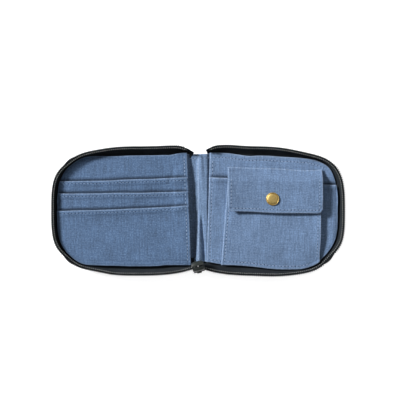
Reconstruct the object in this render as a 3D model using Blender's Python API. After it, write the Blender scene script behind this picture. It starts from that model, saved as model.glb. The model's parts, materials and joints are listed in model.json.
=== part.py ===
"""Zip around wallet, opened flat like a book, as an assembly of separate pieces.

Frame: +X toward the coin half, +Y toward the top edge, +Z up. The origin lies on the resting
face, under the middle of the spine. Metres.
"""
import math

import bmesh
import bpy
from mathutils import Matrix, Vector

# Driving dimensions
GAP = 0.0003                 # clearance between neighbouring pieces
SPINE_WIDTH = 0.0160         # distance between the two fold lines
WALLET_HALF_LENGTH = 0.1117  # spine centre to the zip chain on the outer side
TOP_HALF_HEIGHT = 0.0485     # origin to the zip chain on the top run
BOTTOM_HALF_HEIGHT = 0.0490  # origin to the zip chain on the bottom run
CORNER_START = 0.0500        # distance from the spine centre where the rounded end begins
CORNER_POWER = 3.25          # superellipse power of the zip line
COVER_POWER = 4.0            # the outer cover has tighter corners than the zip line
TOP_TURN_REACH = 0.0160      # the top run turns down within this distance of the spine
TOP_TURN_DROP = 0.0075

# Layers, from the resting face up
COVER_Z = (0.0000, 0.0008)
STIFFENER_Z = (0.0011, 0.0015)
LINING_Z = (0.0018, 0.0022)
TAPE_FLANGE_Z = (0.0025, 0.0029)
BILL_WALL_Z = (0.0032, 0.0036)
FOLD_Z = 0.0037
PANEL_Z = (0.0039, 0.0043)
POCKET_PITCH = 0.0007
POCKET_THICKNESS = 0.0004

# Plan insets from the zip line
COVER_INSET = 0.0006
LINING_INSET = 0.0020
PANEL_INSET = 0.0069
TAPE_FLARE = 0.0062
TAPE_SEAM = 0.0030
TAPE_THICKNESS = 0.0004
TAPE_FLARE_AT_SPINE = 0.0006

# Zip
CHAIN_CREST = 0.0073         # coil crest above the fold level
TAPE_KNEE = 0.0028           # where the flared tape turns upright, above the fold level
COIL_WIDTH = 0.0014
COIL_HEIGHT = 0.0017
COIL_SIDES = 8
CHAIN_END_TOP = 0.0102
CHAIN_END_CARD = 0.0070
CHAIN_END_COIN = 0.0122
FLARE_START = 0.0110
FLARE_FULL = 0.0260
STOP_LENGTH = 0.0014

# The bottom run is an arc, so the slider swings about the arc's centre
SLIDER_Y = -0.0426
RUN_DEPTH = BOTTOM_HALF_HEIGHT + SLIDER_Y
RUN_RADIUS = (CORNER_START ** 2 + RUN_DEPTH ** 2) / (2 * RUN_DEPTH)
RUN_CENTRE = Vector((-CORNER_START, RUN_RADIUS - BOTTOM_HALF_HEIGHT, 0))
SLIDER_TILT = math.asin(CORNER_START / RUN_RADIUS)

# Slider, in its own frame: X along the chain, Y across the plates, Z across the chain
MID_Z = FOLD_Z + SPINE_WIDTH / 2
SLIDER_LENGTH = 0.0095
SLIDER_FRONT_WIDTH = 0.0080
SLIDER_TAIL_WIDTH = 0.0056
SLIDER_CHANNEL = 0.0026
SLIDER_PLATE = 0.0011
SLIDER_SHOULDER = 0.0002     # where the plates start to narrow toward the tail
SLIDER_CORNERS = (0.0022, 0.0012, 0.0010)
WEDGE_THICKNESS = 0.0006
WEDGE_LENGTH = 0.0030
WEDGE_SETBACK = 0.0007
BRIDGE_Y = -0.0041
BRIDGE_RADIUS = 0.0005
BRIDGE_BAR_RADIUS = 0.00048
BRIDGE_BAR_SIDES = 12
BRIDGE_SINK = 0.0002         # how far the legs reach into the outer plate
BRIDGE_SPAN = 0.0062
BRIDGE_LEG = 0.0010
PULL_EYE_OUTER = 0.00135
PULL_EYE_INNER = 0.00085
PULL_WIDTH = 0.0040
PULL_THICKNESS = 0.0010
PULL_LENGTH = 0.0106
PULL_NECK = 0.0011
PULL_SPREAD = 0.0004
PULL_CORNER = 0.0018
PULL_EYE_SIDES = 24

# Card half
FREE_EDGE_TOP = -0.0090
FREE_EDGE_BOTTOM = -0.0084
POCKET_EDGES = {
    "card_pocket_upper": (0.0227, 0.0250),
    "card_pocket_middle": (0.0127, 0.0143),
    "card_pocket_lower": (-0.0003, 0.0035),
}

# Spine
SPINE_BOTTOM = -0.0382
SPINE_COVER_TOP = 0.0440
SPINE_LINING_TOP = 0.0424

# Coin half
COIN_EDGE = 0.0084
SLIP_EDGE = (0.0252, 0.0196)
POUCH_LEFT_TOP = 0.0231
POUCH_LEFT_BOTTOM = 0.0177
POUCH_RIGHT = 0.0943
POUCH_TOP = 0.0235
POUCH_BOTTOM_LEFT = -0.0420
POUCH_BOTTOM_RIGHT = -0.0428
POUCH_CUT = (0.0103, 0.0056)  # the bottom right corner is cut off along the zip
POUCH_CORNER = 0.0030
POUCH_BACK_RISE = 0.0015      # how far the pouch's back stands above its mouth
POUCH_BACK_Z = (0.0053, 0.0057)
GUSSET_Z = (0.0060, 0.0076)
POUCH_FRONT_Z = (0.0079, 0.0084)
GUSSET_THICKNESS = 0.0005
GUSSET_PLEAT = 0.0010

# Flap
FLAP_LEFT = 0.0231
FLAP_RIGHT = 0.0955
FLAP_ROOT_Y = 0.0327
FLAP_TIP_Y = -0.0015
FLAP_HINGE = Vector((0.0593, 0.0330, 0.01155))
FLAP_Z = 0.0113
FLAP_THICKNESS = 0.0005
FLAP_CORNER = 0.0035

# Snap fastener
SNAP_CENTRE = (0.0570, 0.0089, 0)
SNAP_HOLE = 0.0014
SNAP_HOLE_MARGIN = 0.0009
SNAP_SEGMENTS = 32

# Snap fastener profiles as (radius, z)
CAP_PROFILE = [
    (0, 0.0135), (0.0014, 0.01345), (0.0027, 0.01322), (0.0037, 0.01288),
    (0.0042, 0.01262), (0.0046, 0.01272), (0.0050, 0.0125), (0.0050, 0.0123),
    (0.0048, 0.0121), (0.0010, 0.0121), (0.0010, 0.0106), (0, 0.0106)]
SOCKET_PROFILE = [
    (0.0013, 0.0110), (0.0040, 0.0110), (0.0043, 0.0107), (0.0043, 0.0094),
    (0.0024, 0.0094), (0.0024, 0.0106), (0.0013, 0.0106)]
STUD_PROFILE = [
    (0.0013, 0.0103), (0.0017, 0.0103), (0.0020, 0.0100), (0.0020, 0.0097),
    (0.0017, 0.0094), (0.0017, 0.0091), (0.0041, 0.0091), (0.0041, 0.0087),
    (0.0013, 0.0087)]
POST_PROFILE = [
    (0, 0.0100), (0.0010, 0.0100), (0.0010, 0.0076), (0.0040, 0.0076),
    (0.0040, 0.0072), (0, 0.0072)]

# Fineness of the plan curves
PATH_STEPS = 22
CORNER_STEPS = 5
PATH_SHORTEST = 0.0012
OUTLINE_SHORTEST = 0.0008


def clear_scene():
    for obj in list(bpy.data.objects):
        bpy.data.objects.remove(obj, do_unlink=True)


def material(name, colour, roughness, metallic=0.0):
    """A plain Principled material, made once and shared by name."""
    found = bpy.data.materials.get(name)
    if found:
        return found
    made = bpy.data.materials.new(name)
    made.use_nodes = True
    shader = made.node_tree.nodes["Principled BSDF"]
    shader.inputs["Base Color"].default_value = (*colour, 1.0)
    shader.inputs["Roughness"].default_value = roughness
    shader.inputs["Metallic"].default_value = metallic
    return made


def blue_canvas(name):
    return material(name + "_canvas", (0.105, 0.171, 0.289), 0.9)


def black_nylon(name):
    return material(name + "_nylon", (0.020, 0.023, 0.026), 0.75)


def backing_board(name):
    return material(name + "_board", (0.55, 0.53, 0.48), 0.85)


def antique_brass(name):
    return material(name + "_brass", (0.39, 0.26, 0.10), 0.3, 1.0)


def black_paint(name):
    return material(name + "_paint", (0.030, 0.034, 0.032), 0.45, 0.3)


def finish_object(name, bm, surface, smooth=False):
    """Turn a bmesh into a named object whose faces point out."""
    bmesh.ops.recalc_face_normals(bm, faces=bm.faces)
    mesh = bpy.data.meshes.new(name)
    bm.to_mesh(mesh)
    bm.free()
    if smooth:
        mesh.shade_smooth()
        mesh.set_sharp_from_angle(angle=math.radians(40))
    mesh.materials.append(surface)
    obj = bpy.data.objects.new(name, mesh)
    bpy.context.scene.collection.objects.link(obj)
    return obj


def loft(name, rings, surface, smooth=False):
    """Join closed rings of points, one after another, and cap both ends."""
    bm = bmesh.new()
    rows = [[bm.verts.new(point) for point in ring] for ring in rings]
    count = len(rows[0])
    for first, second in zip(rows, rows[1:]):
        for i in range(count):
            j = (i + 1) % count
            bm.faces.new((first[i], first[j], second[j], second[i]))
    bm.faces.new(rows[0])
    bm.faces.new(rows[-1])
    return finish_object(name, bm, surface, smooth)


def plate(name, outline, z_range, surface):
    """A flat layer with the given plan outline."""
    low = [(x, y, z_range[0]) for x, y in outline]
    high = [(x, y, z_range[1]) for x, y in outline]
    return loft(name, [low, high], surface)


def turned(name, profile, centre, surface):
    """Spin a closed (radius, z) profile that stays clear of its axis, or touches it at its ends."""
    bm = bmesh.new()
    closed = min(radius for radius, z in profile) > 0
    verts = [bm.verts.new((radius, 0, z)) for radius, z in profile]
    edges = [bm.edges.new(pair) for pair in zip(verts, verts[1:])]
    if closed:
        edges.append(bm.edges.new((verts[-1], verts[0])))
    bmesh.ops.spin(
        bm, geom=verts + edges, cent=(0, 0, 0), axis=(0, 0, 1),
        angle=2 * math.pi, steps=SNAP_SEGMENTS, use_merge=True)
    bmesh.ops.remove_doubles(bm, verts=bm.verts, dist=0.000002)
    obj = finish_object(name, bm, surface, smooth=True)
    obj.location = centre
    return obj


def box(name, low, high, surface):
    low_ring = [(low[0], low[1]), (high[0], low[1]), (high[0], high[1]), (low[0], high[1])]
    return plate(name, low_ring, (low[2], high[2]), surface)


def boolean(obj, other, operation):
    """Cut or join with a helper object, which is left out of the part."""
    modifier = obj.modifiers.new(operation.lower() + "_" + other.name, "BOOLEAN")
    modifier.operation = operation
    modifier.solver = "EXACT"
    modifier.object = other
    other.hide_render = True
    other.display_type = "WIRE"


def bottom_run(x):
    """Y of the zip line along the bottom run, an arc that curves in at the spine."""
    across = -abs(x) - RUN_CENTRE.x
    return RUN_CENTRE.y - math.sqrt(RUN_RADIUS ** 2 - across ** 2)


def top_run(x):
    """Y of the zip line along the top run, which turns down close to the spine."""
    turn = max(0.0, 1.0 - abs(x) / TOP_TURN_REACH)
    return TOP_HALF_HEIGHT - TOP_TURN_DROP * turn ** 2


def zip_line(start, end, power=CORNER_POWER):
    """The card half's zip line from the bottom spine end to the top one, as (x, y) points."""
    reach = WALLET_HALF_LENGTH - CORNER_START
    points = []
    for i in range(PATH_STEPS // 2):
        x = -start - (CORNER_START - start) * i / (PATH_STEPS // 2)
        points.append((x, bottom_run(x)))
    for i in range(2 * PATH_STEPS + 1):
        angle = -math.pi / 2 + math.pi * i / (2 * PATH_STEPS)
        across = abs(math.cos(angle)) ** (2 / power)
        along = math.copysign(abs(math.sin(angle)) ** (2 / power), angle)
        height = TOP_HALF_HEIGHT if along > 0 else BOTTOM_HALF_HEIGHT
        points.append((-CORNER_START - reach * across, height * along))
    for i in range(1, PATH_STEPS // 2 + 1):
        x = -CORNER_START + (CORNER_START - end) * i / (PATH_STEPS // 2)
        points.append((x, top_run(x)))
    return spread(points)


def spread(points, shortest=PATH_SHORTEST):
    """Drop points that crowd their neighbours, and keep both ends."""
    kept = [points[0]]
    for point in points[1:-1]:
        if math.dist(point, kept[-1]) > shortest and math.dist(point, points[-1]) > shortest:
            kept.append(point)
    return kept + [points[-1]]


def inward_normals(points):
    """Unit normals that point into the card half along an open path."""
    normals = []
    for i in range(len(points)):
        before = points[max(i - 1, 0)]
        after = points[min(i + 1, len(points) - 1)]
        dx = after[0] - before[0]
        dy = after[1] - before[1]
        size = math.hypot(dx, dy)
        normals.append((dy / size, -dx / size))
    return normals


def half_outline(inset, edge, power=CORNER_POWER):
    """Closed outline of a layer of the card half, its free edge at x = -edge."""
    line = zip_line(edge, edge, power)
    moved = []
    for (x, y), (nx, ny) in zip(line, inward_normals(line)):
        moved.append((min(x + nx * inset, -edge), y + ny * inset))
    moved[0] = (-edge, moved[0][1])
    moved[-1] = (-edge, moved[-1][1])
    return spread(moved, OUTLINE_SHORTEST)


def clip_below(outline, left, right):
    """Keep the part of a closed outline that lies below the line from left to right."""
    def height(point):
        share = (point[0] - left[0]) / (right[0] - left[0])
        return point[1] - (left[1] + share * (right[1] - left[1]))

    kept = []
    for current, following in zip(outline, outline[1:] + outline[:1]):
        here = height(current)
        there = height(following)
        if here <= 0:
            kept.append(current)
        if here * there < 0:
            share = here / (here - there)
            kept.append(tuple(a + share * (b - a) for a, b in zip(current, following)))
    return kept


def mirrored(outline):
    return [(-x, y) for x, y in outline]


def rounded(corners, radius, steps=CORNER_STEPS):
    """Round the corners of a closed (x, y) outline; radius may be one value or one per corner."""
    points = []
    count = len(corners)
    for i, corner in enumerate(corners):
        reach = radius[i] if isinstance(radius, tuple) else radius
        here = Vector(corner)
        if reach == 0:
            points.append(tuple(here))
            continue
        before = (Vector(corners[i - 1]) - here).normalized() * reach
        after = (Vector(corners[(i + 1) % count]) - here).normalized() * reach
        for k in range(steps + 1):
            t = k / steps
            spot = here + before * (1 - t) ** 2 + after * t ** 2
            points.append(tuple(spot))
    return points


def tape_section(flare):
    """Cross-section of the zip tape as (inset, z): a sewn flange, a flare and an upright edge."""
    low, high = TAPE_FLANGE_Z
    knee = FOLD_Z + TAPE_KNEE
    top = FOLD_Z + CHAIN_CREST - COIL_HEIGHT - GAP
    half = TAPE_THICKNESS / 2
    return [
        (flare + TAPE_SEAM, low), (flare - half, low), (-half, knee), (-half, top),
        (half, top), (half, knee + half), (flare + half, high), (flare + TAPE_SEAM, high)]


def smooth_share(value, start, end):
    share = min(max((value - start) / (end - start), 0.0), 1.0)
    return share * share * (3 - 2 * share)


def zip_tape(name, side, bottom_end):
    line = zip_line(bottom_end, CHAIN_END_TOP - STOP_LENGTH)
    rings = []
    for (x, y), (nx, ny) in zip(line, inward_normals(line)):
        share = smooth_share(-x, FLARE_START, FLARE_FULL)
        flare = TAPE_FLARE_AT_SPINE + (TAPE_FLARE - TAPE_FLARE_AT_SPINE) * share
        ring = [(side * (x + nx * u), y + ny * u, z) for u, z in tape_section(flare)]
        rings.append(ring)
    return loft(name, rings, black_nylon(name))


def zip_coil(name, side, bottom_end):
    line = zip_line(bottom_end, CHAIN_END_TOP)
    crest = FOLD_Z + CHAIN_CREST
    half_step = math.pi / COIL_SIDES
    rings = []
    for (x, y), (nx, ny) in zip(line, inward_normals(line)):
        ring = []
        for i in range(COIL_SIDES):
            angle = half_step * (2 * i + 1)
            u = COIL_WIDTH / 2 * math.cos(angle) / math.cos(half_step)
            z = crest - COIL_HEIGHT / 2 * (1 - math.sin(angle) / math.cos(half_step))
            ring.append((side * (x + nx * u), y + ny * u, z))
        rings.append(ring)
    return loft(name, rings, black_nylon(name), smooth=True)


def zip_stop(name, side):
    """A clamped stop at the chain's top end, lying along the last of the chain."""
    near = CHAIN_END_TOP - GAP - STOP_LENGTH
    far = CHAIN_END_TOP - GAP
    crest = FOLD_Z + CHAIN_CREST
    rings = []
    for x in (near, far):
        y = top_run(x)
        half = COIL_WIDTH / 2
        low = crest - COIL_HEIGHT
        rings.append([
            (side * -x, y - half, low), (side * -x, y + half, low),
            (side * -x, y + half, crest), (side * -x, y - half, crest)])
    return loft(name, rings, black_paint(name))


def half_layers(label, side):
    """The flat layers that both halves share."""
    edge = SPINE_WIDTH / 2 + GAP

    def outline(inset, power=CORNER_POWER):
        points = half_outline(inset, edge, power)
        return points if side > 0 else mirrored(points)

    name = "cover_" + label
    plate(name, outline(COVER_INSET, COVER_POWER), COVER_Z, black_nylon(name))
    name = "stiffener_" + label
    plate(name, outline(LINING_INSET), STIFFENER_Z, backing_board(name))
    name = "lining_" + label
    plate(name, outline(LINING_INSET), LINING_Z, blue_canvas(name))
    name = "bill_wall_" + label
    plate(name, outline(PANEL_INSET), BILL_WALL_Z, blue_canvas(name))


def card_side():
    panel = half_outline(PANEL_INSET, -FREE_EDGE_BOTTOM)
    panel = [(min(x, FREE_EDGE_TOP) if y > 0 else x, y) for x, y in panel]
    plate("card_panel", panel, PANEL_Z, blue_canvas("card_panel"))
    low = PANEL_Z[1] + GAP
    for name, (left_y, right_y) in POCKET_EDGES.items():
        outline = clip_below(panel, (-WALLET_HALF_LENGTH, left_y), (FREE_EDGE_TOP, right_y))
        plate(name, outline, (low, low + POCKET_THICKNESS), blue_canvas(name))
        low += POCKET_PITCH


def spine():
    half = SPINE_WIDTH / 2 - GAP
    layers = {
        "cover_spine": (COVER_Z, SPINE_COVER_TOP, black_nylon),
        "stiffener_spine": (STIFFENER_Z, SPINE_LINING_TOP, backing_board),
        "lining_spine": (LINING_Z, SPINE_LINING_TOP, blue_canvas),
        "bill_wall_spine": (BILL_WALL_Z, SPINE_LINING_TOP, blue_canvas),
    }
    for name, (z_range, top, surface) in layers.items():
        box(name, (-half, SPINE_BOTTOM, z_range[0]), (half, top, z_range[1]), surface(name))


def pouch_outline(inset, top):
    """Coin pouch outline, clockwise from its top left corner, square at the mouth."""
    corners = [
        (POUCH_LEFT_TOP + inset, top),
        (POUCH_RIGHT - inset, top),
        (POUCH_RIGHT - inset, POUCH_BOTTOM_RIGHT + POUCH_CUT[1] + inset / 2),
        (POUCH_RIGHT - POUCH_CUT[0] - inset / 2, POUCH_BOTTOM_RIGHT + inset),
        (POUCH_LEFT_BOTTOM + inset, POUCH_BOTTOM_LEFT + inset)]
    return rounded(corners, (0, 0, POUCH_CORNER, POUCH_CORNER, POUCH_CORNER))


def pouch_gusset():
    """A pleated wall round the pouch's two sides and bottom, open at the mouth."""
    path = pouch_outline(GUSSET_THICKNESS, POUCH_TOP)
    path = path[1:] + path[:1]
    low, high = GUSSET_Z
    middle = (low + high) / 2
    rings = []
    for i, here in enumerate(path):
        before = Vector(path[max(i - 1, 0)])
        after = Vector(path[min(i + 1, len(path) - 1)])
        along = (after - before).normalized()
        inward = Vector((along.y, -along.x))
        section = [
            (0, low), (GUSSET_PLEAT, middle), (0, high), (GUSSET_THICKNESS, high),
            (GUSSET_PLEAT + GUSSET_THICKNESS, middle), (GUSSET_THICKNESS, low)]
        ring = [(here[0] + inward.x * u, here[1] + inward.y * u, z) for u, z in section]
        rings.append(ring)
    return loft("pouch_gusset", rings, blue_canvas("pouch_gusset"))


def snap_hole(name, low, high):
    """A helper rod that cuts the snap's hole through a layer between low and high."""
    top = high + SNAP_HOLE_MARGIN
    bottom = low - SNAP_HOLE_MARGIN
    profile = [(0, top), (SNAP_HOLE, top), (SNAP_HOLE, bottom), (0, bottom)]
    return turned(name, profile, SNAP_CENTRE, blue_canvas(name))


def coin_side():
    panel = mirrored(half_outline(PANEL_INSET, COIN_EDGE))
    plate("coin_panel", panel, PANEL_Z, blue_canvas("coin_panel"))
    low = PANEL_Z[1] + GAP
    slip = clip_below(panel, (COIN_EDGE, SLIP_EDGE[0]), (WALLET_HALF_LENGTH, SLIP_EDGE[1]))
    plate("slip_pocket", slip, (low, low + POCKET_THICKNESS), blue_canvas("slip_pocket"))
    back = pouch_outline(0, POUCH_TOP + POUCH_BACK_RISE)
    plate("pouch_back", back, POUCH_BACK_Z, blue_canvas("pouch_back"))
    pouch_gusset()
    front = plate("pouch_front", pouch_outline(0, POUCH_TOP), POUCH_FRONT_Z,
                  blue_canvas("pouch_front"))
    boolean(front, snap_hole("front_hole", *POUCH_FRONT_Z), "DIFFERENCE")


def coin_flap():
    """The flap lies over the pouch, its upper edge on the hinge line."""
    rows = [(FLAP_ROOT_Y, 0.0), (FLAP_TIP_Y + FLAP_CORNER, 0.0)]
    for i in range(1, CORNER_STEPS + 1):
        angle = math.pi / 2 * i / CORNER_STEPS
        y = FLAP_TIP_Y + FLAP_CORNER * (1 - math.sin(angle))
        rows.append((y, FLAP_CORNER * (1 - math.cos(angle))))
    low = FLAP_Z
    high = FLAP_Z + FLAP_THICKNESS
    rings = []
    for y, pull_in in rows:
        left = FLAP_LEFT + pull_in
        right = FLAP_RIGHT - pull_in
        ring = [(left, y, low), (right, y, low), (right, y, high), (left, y, high)]
        rings.append([Vector(point) - FLAP_HINGE for point in ring])
    flap = loft("coin_flap", rings, blue_canvas("coin_flap"))
    flap.location = FLAP_HINGE
    boolean(flap, snap_hole("flap_hole", low, high), "DIFFERENCE")


def snap_fastener():
    """Cap and socket on the flap, stud and post on the pouch front."""
    for name, profile in (("snap_cap", CAP_PROFILE), ("snap_socket", SOCKET_PROFILE),
                          ("snap_stud", STUD_PROFILE), ("snap_post", POST_PROFILE)):
        turned(name, profile, SNAP_CENTRE, antique_brass(name))


def slider_frame():
    """Places slider pieces: turned along the chain, at the arc's spine end."""
    place = Matrix.Translation((0, SLIDER_Y, MID_Z))
    return place @ Matrix.Rotation(SLIDER_TILT, 4, "Z")


def slider_plate_outline():
    """Slider plate in its (x, z) plane: wide and rounded in front, narrow at the tail."""
    front = -SLIDER_LENGTH / 2
    tail = SLIDER_LENGTH / 2
    corners = [
        (front, SLIDER_FRONT_WIDTH / 2), (SLIDER_SHOULDER, SLIDER_FRONT_WIDTH / 2),
        (tail, SLIDER_TAIL_WIDTH / 2), (tail, -SLIDER_TAIL_WIDTH / 2),
        (SLIDER_SHOULDER, -SLIDER_FRONT_WIDTH / 2), (front, -SLIDER_FRONT_WIDTH / 2)]
    return rounded(corners, SLIDER_CORNERS + SLIDER_CORNERS[::-1], CORNER_STEPS - 1)


def zip_slider():
    """Two plates joined by a wedge between the chains, with a bridge for the pull outside."""
    paint = black_paint("zip_slider")
    half = SLIDER_CHANNEL / 2
    outline = slider_plate_outline()

    def slider_slab(name, y_range):
        rings = [[(x, y, z) for x, z in outline] for y in y_range]
        return loft(name, rings, paint)

    body = slider_slab("zip_slider", (-half - SLIDER_PLATE, -half))
    inner = slider_slab("slider_inner_plate", (half, half + SLIDER_PLATE))
    front = -SLIDER_LENGTH / 2 + WEDGE_SETBACK
    reach = half + SLIDER_PLATE / 2
    wedge = box("slider_wedge", (front, -reach, -WEDGE_THICKNESS / 2),
                (front + WEDGE_LENGTH, reach, WEDGE_THICKNESS / 2), paint)
    joined = [inner, wedge]
    outer_face = -half - SLIDER_PLATE
    for label, x in (("front", -BRIDGE_SPAN / 2 - BRIDGE_LEG), ("tail", BRIDGE_SPAN / 2)):
        leg = box("bridge_leg_" + label,
                  (x, BRIDGE_Y - BRIDGE_RADIUS, -BRIDGE_RADIUS),
                  (x + BRIDGE_LEG, outer_face + BRIDGE_SINK, BRIDGE_RADIUS), paint)
        joined.append(leg)
    reach = BRIDGE_SPAN / 2 + BRIDGE_LEG / 2
    rings = []
    for x in (-reach, reach):
        ring = []
        for i in range(BRIDGE_BAR_SIDES):
            angle = 2 * math.pi * i / BRIDGE_BAR_SIDES
            y = BRIDGE_Y + BRIDGE_BAR_RADIUS * math.cos(angle)
            ring.append((x, y, BRIDGE_BAR_RADIUS * math.sin(angle)))
        rings.append(ring)
    joined.append(loft("bridge_bar", rings, paint))
    for other in joined:
        other.parent = body
        boolean(body, other, "UNION")
    body.matrix_world = slider_frame()
    return body


def zip_pull():
    """A short tab that hangs from an eye round the slider's bridge."""
    paint = black_paint("zip_pull")

    def eye(name, radius, half_width):
        rings = []
        for x in (-half_width, half_width):
            ring = []
            for i in range(PULL_EYE_SIDES):
                angle = 2 * math.pi * i / PULL_EYE_SIDES
                ring.append((x, radius * math.cos(angle), radius * math.sin(angle)))
            rings.append(ring)
        return loft(name, rings, paint, smooth=True)

    pull = eye("zip_pull", PULL_EYE_OUTER, PULL_WIDTH / 2)
    corners = [
        (-PULL_WIDTH / 2, -PULL_NECK), (PULL_WIDTH / 2, -PULL_NECK),
        (PULL_WIDTH / 2 + PULL_SPREAD, -PULL_LENGTH),
        (-PULL_WIDTH / 2 - PULL_SPREAD, -PULL_LENGTH)]
    outline = rounded(corners, (0, 0, PULL_CORNER, PULL_CORNER))
    rings = [[(x, y, z) for x, z in outline] for y in (-PULL_THICKNESS / 2, PULL_THICKNESS / 2)]
    tab = loft("pull_tab", rings, paint)
    bore = eye("pull_bore", PULL_EYE_INNER, PULL_WIDTH)
    for other, operation in ((tab, "UNION"), (bore, "DIFFERENCE")):
        other.parent = pull
        boolean(pull, other, operation)
    pull.matrix_world = slider_frame() @ Matrix.Translation((0, BRIDGE_Y, 0))
    return pull


clear_scene()
half_layers("card", 1)
half_layers("coin", -1)
card_side()
spine()
coin_side()
coin_flap()
snap_fastener()
zip_tape("zip_tape_card", 1, CHAIN_END_CARD)
zip_tape("zip_tape_coin", -1, CHAIN_END_COIN)
zip_coil("zip_coil_card", 1, CHAIN_END_CARD)
zip_coil("zip_coil_coin", -1, CHAIN_END_COIN)
zip_stop("zip_stop_card", 1)
zip_stop("zip_stop_coin", -1)
zip_slider()
zip_pull()
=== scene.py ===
"""Looks of the zip around wallet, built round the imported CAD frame.

Shapes are laid out in millimetres in the frame's own axes (+X coin half, +Y top edge, +Z up)
and turned into metres when a mesh is made.
"""

import json
import math

import bmesh
import bpy
import numpy as np
from mathutils import Matrix, Vector, noise
from mathutils.bvhtree import BVHTree


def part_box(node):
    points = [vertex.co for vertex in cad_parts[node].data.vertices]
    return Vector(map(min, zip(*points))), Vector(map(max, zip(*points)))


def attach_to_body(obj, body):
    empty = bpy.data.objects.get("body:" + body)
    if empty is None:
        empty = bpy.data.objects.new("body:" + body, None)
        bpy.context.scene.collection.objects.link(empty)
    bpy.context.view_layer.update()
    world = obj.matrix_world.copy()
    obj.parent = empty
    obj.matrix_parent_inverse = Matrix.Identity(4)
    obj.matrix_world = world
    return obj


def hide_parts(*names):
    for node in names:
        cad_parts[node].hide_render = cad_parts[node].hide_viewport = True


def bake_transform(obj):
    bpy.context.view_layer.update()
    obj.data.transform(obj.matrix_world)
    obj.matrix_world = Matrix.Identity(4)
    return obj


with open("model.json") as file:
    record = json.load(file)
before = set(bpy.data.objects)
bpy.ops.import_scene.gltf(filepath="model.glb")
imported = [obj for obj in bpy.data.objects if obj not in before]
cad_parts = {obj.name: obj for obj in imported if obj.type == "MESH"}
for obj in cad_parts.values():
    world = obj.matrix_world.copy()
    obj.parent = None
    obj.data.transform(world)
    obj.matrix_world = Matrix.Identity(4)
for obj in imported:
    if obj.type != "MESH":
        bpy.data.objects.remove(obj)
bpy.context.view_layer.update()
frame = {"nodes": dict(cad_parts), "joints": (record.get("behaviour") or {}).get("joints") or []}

MM = 0.001
HALVES = {-1: "card", 1: "coin"}


def span(node):
    """Lowest and highest corner of a CAD node in millimetres."""
    low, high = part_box(node)
    return low / MM, high / MM


def joint(name):
    return next(j for j in frame["joints"] if j["name"] == name)


# Plan of the zip line
COIL_LOW, COIL_HIGH = span("zip_coil_card")
COIL_HALF = 0.7
HALF_LENGTH = -COIL_LOW.x - COIL_HALF
TOP = COIL_HIGH.y - COIL_HALF
BOTTOM = -COIL_LOW.y - COIL_HALF
CREST = COIL_HIGH.z
ROUND_START = 50.0
ROUND_POWER = 3.25
BOTTOM_CURL = 6.4
BOTTOM_CURL_POWER = 3.2
TOP_CURL = 7.5
TOP_CURL_REACH = 16.0

# Layer heights (top surfaces)
FOLD_X = joint("coin_fold")["pos_m"][0] / MM
COVER_TOP = span("cover_card")[1].z
STIFF_TOP = span("stiffener_card")[1].z - 0.3
LINING_TOP = span("lining_card")[1].z
BILL_TOP = span("bill_wall_card")[1].z
PANEL_TOP = span("card_panel")[1].z
SLIP_TOP = span("slip_pocket")[1].z
FLAP_TOP = span("coin_flap")[1].z

# Insets from the zip line
COVER_INSET = 1.7
COVER_SLIVER = 2.4
WALL_STRAIGHT = 6.2
WALL_NARROW = {-1: (2.3, 3.3), 1: (3.1, 4.1)}

# Cloth
EDGE_GAP = 0.06
COARSE_STEP = 1.6
FINE_SPINE = 14
NECK = (8.4, 11.5)
CLOTH = 0.45
PINCH = 0.22
ROUND_OUT = 0.32
WEAR_AND_HIGHLIGHT_WIDTH = 1.1
HEM = 0.45
HEM_DEPTH = 3.2
SEAM_INSET = 1.9
SIDE_SEAM = 2.2
SPINE_SEAM = 3.2
COVER_SEAM = 2.6
FOLD_SEAM = 13.0
SEAM_WIDTH = 0.45
LEAST_SHARE = 0.45
EDGE_OFFSETS = (0.0, 0.3, 0.8, 1.3, 1.7, 2.1, 2.6, 3.2, 4.0)
CLOTH_STEP = 1.15


# ---- plan shapes

def smooth(value, start, end):
    share = min(max((value - start) / (end - start), 0.0), 1.0)
    return share * share * (3 - 2 * share)


def bell(value, centre, width):
    return math.exp(-((value - centre) / width) ** 2)


def squared(angle, power):
    """Cosine and sine on a superellipse, which is a circle when the power is 2."""
    c = math.cos(angle)
    s = math.sin(angle)
    return (math.copysign(abs(c) ** (2 / power), c), math.copysign(abs(s) ** (2 / power), s))


def soften(x, y):
    """The made wallet isn't a perfect outline: its corners are softer than the pattern."""
    pattern_y = y
    for lift, centre, width, end in SOFT_SPOTS:
        y += lift * bell(x, centre, width) * smooth(end * pattern_y, 14, 45)
    return x, y


# (shift of y, x of its middle, its width, +1 at the upper edge or -1 at the lower)
SOFT_SPOTS = ((-1.7, -82, 18, 1), (0.6, -20, 10, 1), (2.0, -81, 14, -1), (-2.8, 84, 20, 1),
              (1.1, 22, 12, 1), (-0.6, 58, 14, -1))
CORNER_PULLS = ((-101.0, 37.0, 1.3), (-101.0, -37.0, 1.5), (103.0, -37.0, 1.6))


def settle(x, y):
    """On top of that the zip wall leans inward at three corners, off the cover's edge."""
    x, y = soften(x, y)
    for corner_x, corner_y, pull in CORNER_PULLS:
        share = pull * bell(math.hypot(x - corner_x, y - corner_y), 0, 11)
        x -= math.copysign(share, corner_x)
        y -= math.copysign(share, corner_y)
    return x, y


def lean_cards(x, y):
    """The card pockets' free edge runs askew, over the fold at its lower end."""
    return settle(x + 0.036 * (46 - y) * smooth(x, -45, -9), y)


def lean_coins(x, y):
    """The coin half's inner edge leans toward the spine at its lower end."""
    return settle(x + (0.030 * (y - 12) - 0.1) * smooth(34 - x, 0, 24), y)


def bottom_run(x):
    return -BOTTOM + BOTTOM_CURL * max(0.0, 1 - abs(x) / ROUND_START) ** BOTTOM_CURL_POWER


def top_run(x):
    return TOP - TOP_CURL * max(0.0, 1 - abs(x) / TOP_CURL_REACH) ** 2


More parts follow.
